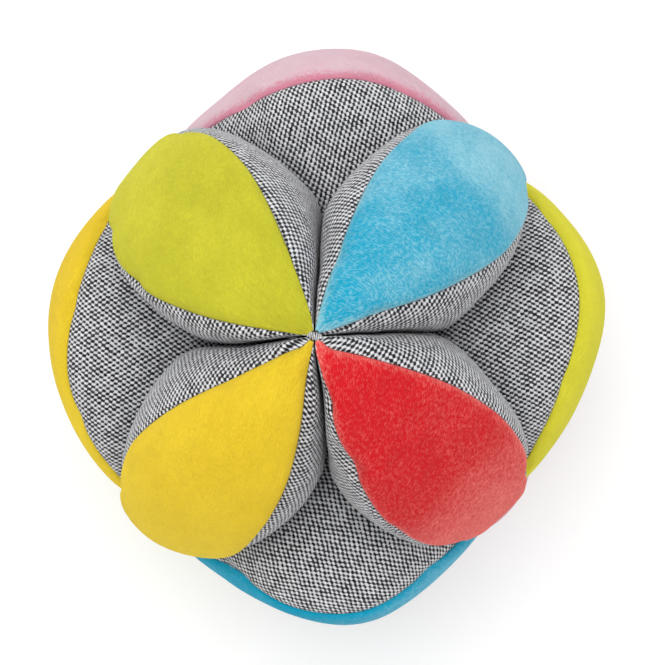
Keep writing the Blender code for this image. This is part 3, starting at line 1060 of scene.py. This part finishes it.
def fibre_material(name, roughness, colour, dark, pale, relief, **streaks):
    """Fibre that is streaked like the pile, with its places read from the object."""
    material, tree, shader = new_material(name, roughness)
    place = add_node(tree, "ShaderNodeTexCoord").outputs["Object"]
    place = vector_calc(tree, "MULTIPLY", place, (1 / MILLIMETRE,) * 3)
    pile = place_group(tree, "Short pile", Place=place, **streaks)
    shown = mixed(tree, pile["Streaks"], darker(colour, dark), paler(colour, pale))
    feed(tree, shader, Base_Color=shown)
    bumped(tree, shader, pile["Height"], relief)
    return material


# Filling

FILLING_SPANS = 24
FILLING_COLUMNS = 20
FILLING_START = 6  # stations from a tip to the end of its filling
FILLING_SEED = 20
FILLING_AIR = 0.0032
FILLING_LUMP = 0.0012
FILLING_INSET = 0.45  # most that the filling is drawn in, as a share of its own depth


def filling_mesh(size, name, seed):
    """The skin at fewer points, drawn in by the air between cloth and fibre."""
    skin = skins[name]
    rows = np.linspace(FILLING_START, SPANS - FILLING_START, FILLING_SPANS + 1)
    rows = rows.round().astype(int)
    columns = np.linspace(0, RING, FILLING_COLUMNS + 1).round().astype(int)[:-1]
    points = skin[np.ix_(rows, columns)]
    u = stations()[rows]
    lump = (lumps(points, seed) / LUMP_HEIGHT * FILLING_LUMP)[:, :, None]
    core = np.zeros_like(points)
    core[:, :, 0] = u * HALF_CHORD
    core[:, :, 2] = core_depth(size, WEDGES[name], u)
    reach = lengths(points - core)
    inset = np.minimum(FILLING_AIR + abs(lump), FILLING_INSET * reach)
    points = points - (points - core) / reach * inset
    faces = ring_faces(len(rows), len(columns)) + end_faces(len(rows), len(columns))
    mesh = new_mesh(f"filling_{name}", points.reshape(-1, 3).tolist(), faces)
    mesh.shade_smooth()
    return mesh


def add_fillings(size, colours):
    material = fibre_material("polyester fibre", 0.9, colours.filling, 0.8, 0.3,
                              FIBRE_RELIEF, Streak_Scale=0.9, Streak_Length=6.0, Swirl=9.0)
    for seed, name in enumerate(WEDGES, start=FILLING_SEED):
        ob = add_piece(f"filling_{name}", filling_mesh(size, name, seed), material,
                       f"wedge_{name}", wedge_frame(name), f"fibre_{name}")


# Thread

STITCH_SIDES = 8
STITCH_STEPS = 14
STITCH_TURNS = 7
STITCH_PITCH = 2.5  # from one turn of thread to the next, in radii of the thread
STITCH_REACH = 0.0010
STITCH_LIFT = 0.0011  # how far the turns stand above the crossing
STITCH_DIP = 0.0008  # how far their ends dive into the cloth
STITCH_SLANT = 0.3
SHANK_HEIGHTS = (0.0014, -0.0015, -0.0045)


def tube(points, radius):
    """Points and faces of a closed round thread along the points."""
    verts = []
    points = [Vector(point) for point in points]
    for i, point in enumerate(points):
        ahead = points[min(i + 1, len(points) - 1)] - points[max(i - 1, 0)]
        turn = ahead.to_track_quat("Z", "Y")
        end = i in (0, len(points) - 1)
        for k in range(STITCH_SIDES):
            a = 2 * math.pi * k / STITCH_SIDES
            reach = radius * (0.55 if end else 1.0)
            verts.append(point + turn @ Vector((math.cos(a) * reach, math.sin(a) * reach, 0)))
    faces = ring_faces(len(points), STITCH_SIDES) + end_faces(len(points), STITCH_SIDES)
    return verts, faces


def stitch_path(turn, offset, reach, lift):
    """A short slanting stitch across the tips, which dives into the cloth at both ends."""
    path = []
    for step in range(STITCH_STEPS + 1):
        t = -1 + 2 * step / STITCH_STEPS
        height = lift - STITCH_DIP * abs(t) ** 5
        flat = Vector((reach * t + STITCH_SLANT * offset, offset, height))
        path.append(Matrix.Rotation(turn, 3, "Z") @ flat)
    return path


def stitches_mesh(size, seed):
    """Turns of thread outside the crossing, none quite like the next, and the shank inside."""
    radius = size.stitch_radius
    threads = []
    for k in range(STITCH_TURNS):
        turn = math.radians(45) + 0.20 * math.sin(5.1 * k + seed)
        offset = radius * STITCH_PITCH * (k - (STITCH_TURNS - 1) / 2)
        lift = STITCH_LIFT + 0.0002 * math.sin(2.7 * k + seed)
        reach = STITCH_REACH + 0.0003 * math.sin(3.3 * k + 2 * seed)
        threads.append(tube(stitch_path(turn, offset, reach, lift), radius))
    threads.append(tube([(0, 0, height) for height in SHANK_HEIGHTS], THREAD_RADIUS))
    verts = []
    faces = []
    for points, shapes in threads:
        faces += [tuple(i + len(verts) for i in shape) for shape in shapes]
        verts += points
    mesh = new_mesh("stitches", verts, faces)
    mesh.shade_smooth()
    return mesh


def add_stitches(size, colours):
    material = fibre_material("sewing thread", 0.6, colours.stitch, 0.7, 0.2,
                              THREAD_RELIEF, Streak_Scale=5.0, Streak_Length=2.0)
    for seed, (name, direction) in enumerate(CROSSINGS.items()):
        turn = UP.rotation_difference(direction).to_matrix().to_4x4()
        place = Matrix.Translation(BALL_CENTRE + direction * CROSSING_RADIUS) @ turn
        add_piece(f"stitches_{name}", stitches_mesh(size, seed), material, "tacks", place,
                  f"tack_{name}")


# Stage

FLOOR_HALF = 3.0
FLOOR_GLOW = 0.16  # lifts the lit floor to white where it is seen
KEY_SIZE = 0.9
KEY_DISTANCE = 1.0
KEY_BACK, KEY_UP, KEY_LEFT = 0.85, 0.34, 0.12  # way to the lamp, in the picture's directions


def seen_directly(tree):
    """1 for what the camera sees, itself or in a mirror or glass."""
    ray = add_node(tree, "ShaderNodeLightPath").outputs
    seen = calc(tree, "MAXIMUM", ray["Is Camera Ray"], ray["Is Glossy Ray"])
    return calc(tree, "MAXIMUM", seen, ray["Is Transmission Ray"])


def floor_material():
    material, tree, shader = new_material("floor", 0.9)
    feed(tree, shader, Base_Color=(0.90, 0.90, 0.90, 1))
    glow = add_node(tree, "ShaderNodeEmission",
                    Strength=calc(tree, "MULTIPLY", seen_directly(tree), FLOOR_GLOW))
    both = add_node(tree, "ShaderNodeAddShader", _0=shader.outputs[0], _1=glow.outputs[0])
    feed(tree, tree.nodes["Material Output"], Surface=both.outputs[0])
    return material


def add_floor():
    h = FLOOR_HALF
    corners = [(-h, -h, 0), (h, -h, 0), (h, h, 0), (-h, h, 0)]
    mesh = new_mesh("floor", corners, [(0, 1, 2, 3)])
    mesh.materials.append(floor_material())
    linked("floor", mesh)


def picture_axes(stage):
    """Directions of the picture's right side, its top and the camera, as seen from the ball."""
    right = Vector((math.cos(stage.turn), math.sin(stage.turn), 0))
    up = UP.cross(right)
    back = UP + math.tan(stage.lean_right) * right + math.tan(stage.lean_up) * up
    back.normalize()
    right = (right - back * right.dot(back)).normalized()
    return right, back.cross(right), back


def add_camera(stage):
    right, up, back = picture_axes(stage)
    camera = bpy.data.cameras.new("camera")
    camera.lens = camera.sensor_width * stage.distance / stage.frame_width
    ob = linked("camera", camera)
    aim = BALL_CENTRE + right * stage.aim_right + up * stage.aim_up
    turn = Matrix((right, up, back)).transposed().to_4x4()
    ob.matrix_world = Matrix.Translation(aim + back * stage.distance) @ turn
    bpy.context.scene.camera = ob


def add_key(stage):
    """A large round lamp beside the camera."""
    right, up, back = picture_axes(stage)
    direction = back * KEY_BACK + up * KEY_UP - right * KEY_LEFT
    lamp = bpy.data.lights.new("key", "AREA")
    lamp.energy = stage.key_power
    lamp.shape = "DISK"
    lamp.size = KEY_SIZE
    place = BALL_CENTRE + direction.normalized() * KEY_DISTANCE
    turn = direction.to_track_quat("Z", "Y").to_matrix().to_4x4()
    linked("key", lamp).matrix_world = Matrix.Translation(place) @ turn


def add_sky(stage):
    world = bpy.data.worlds.new("room")
    world.use_nodes = True
    tree = world.node_tree
    light = tree.nodes["Background"]
    feed(tree, light, Color=(1, 1, 1, 1), Strength=stage.sky)
    white = add_node(tree, "ShaderNodeBackground", Color=(1, 1, 1, 1), Strength=1.0)
    chosen = add_node(tree, "ShaderNodeMixShader", _0=seen_directly(tree),
                      _1=light.outputs[0], _2=white.outputs[0])
    feed(tree, tree.nodes["World Output"], Surface=chosen.outputs[0])
    bpy.context.scene.world = world


def add_stage(stage):
    add_floor()
    add_camera(stage)
    add_key(stage)
    add_sky(stage)
    bpy.context.scene.view_settings.view_transform = "Standard"


# Add-on

class StuffWedges(bpy.types.Operator):
    """Draw the twelve wedge skins and stuff them"""
    bl_idname = "grasping_ball.stuff_wedges"
    bl_label = "Stuff Wedges"

    def execute(self, context):
        make_skins(context.scene.ball_sizes)
        return {"FINISHED"}


class AddPlush(bpy.types.Operator):
    """Cut the plush panels from the stuffed skins"""
    bl_idname = "grasping_ball.add_plush"
    bl_label = "Plush Panels"

    def execute(self, context):
        add_plush(context.scene.ball_colours)
        return {"FINISHED"}


class AddSides(bpy.types.Operator):
    """Cut the woven sides from the stuffed skins"""
    bl_idname = "grasping_ball.add_sides"
    bl_label = "Woven Sides"

    def execute(self, context):
        add_sides(context.scene.ball_sizes, context.scene.ball_colours)
        return {"FINISHED"}


class AddFillings(bpy.types.Operator):
    """Fill each wedge with loose fibre"""
    bl_idname = "grasping_ball.add_fillings"
    bl_label = "Fillings"

    def execute(self, context):
        add_fillings(context.scene.ball_sizes, context.scene.ball_colours)
        return {"FINISHED"}


class AddStitches(bpy.types.Operator):
    """Tack the tips together at the six crossings"""
    bl_idname = "grasping_ball.add_stitches"
    bl_label = "Stitches"

    def execute(self, context):
        add_stitches(context.scene.ball_sizes, context.scene.ball_colours)
        return {"FINISHED"}


class AddStage(bpy.types.Operator):
    """Add the floor, the camera and the light"""
    bl_idname = "grasping_ball.add_stage"
    bl_label = "Stage"

    def execute(self, context):
        add_stage(context.scene.ball_stage)
        return {"FINISHED"}


OPERATORS = (StuffWedges, AddPlush, AddSides, AddFillings, AddStitches, AddStage)


class BallPanel(bpy.types.Panel):
    bl_label = "Grasping Ball"
    bl_idname = "VIEW3D_PT_grasping_ball"
    bl_space_type = "VIEW_3D"
    bl_region_type = "UI"
    bl_category = "Grasping Ball"

    def draw(self, context):
        scene = context.scene
        for group in (scene.ball_sizes, scene.ball_colours, scene.ball_stage):
            box = self.layout.box()
            for key in group.__annotations__:
                box.prop(group, key)
        for operator in OPERATORS:
            self.layout.operator(operator.bl_idname)


CLASSES = (BallSizes, BallColours, StageSettings, *OPERATORS, BallPanel)


def register():
    for cls in CLASSES:
        bpy.utils.register_class(cls)
    bpy.types.Scene.ball_sizes = PointerProperty(type=BallSizes)
    bpy.types.Scene.ball_colours = PointerProperty(type=BallColours)
    bpy.types.Scene.ball_stage = PointerProperty(type=StageSettings)


def unregister():
    del bpy.types.Scene.ball_stage
    del bpy.types.Scene.ball_colours
    del bpy.types.Scene.ball_sizes
    for cls in reversed(CLASSES):
        bpy.utils.unregister_class(cls)


def main():
    register()
    bpy.ops.grasping_ball.stuff_wedges()
    bpy.ops.grasping_ball.add_plush()
    bpy.ops.grasping_ball.add_sides()
    bpy.ops.grasping_ball.add_fillings()
    bpy.ops.grasping_ball.add_stitches()
    bpy.ops.grasping_ball.add_stage()


if __name__ == "__main__":
    main()
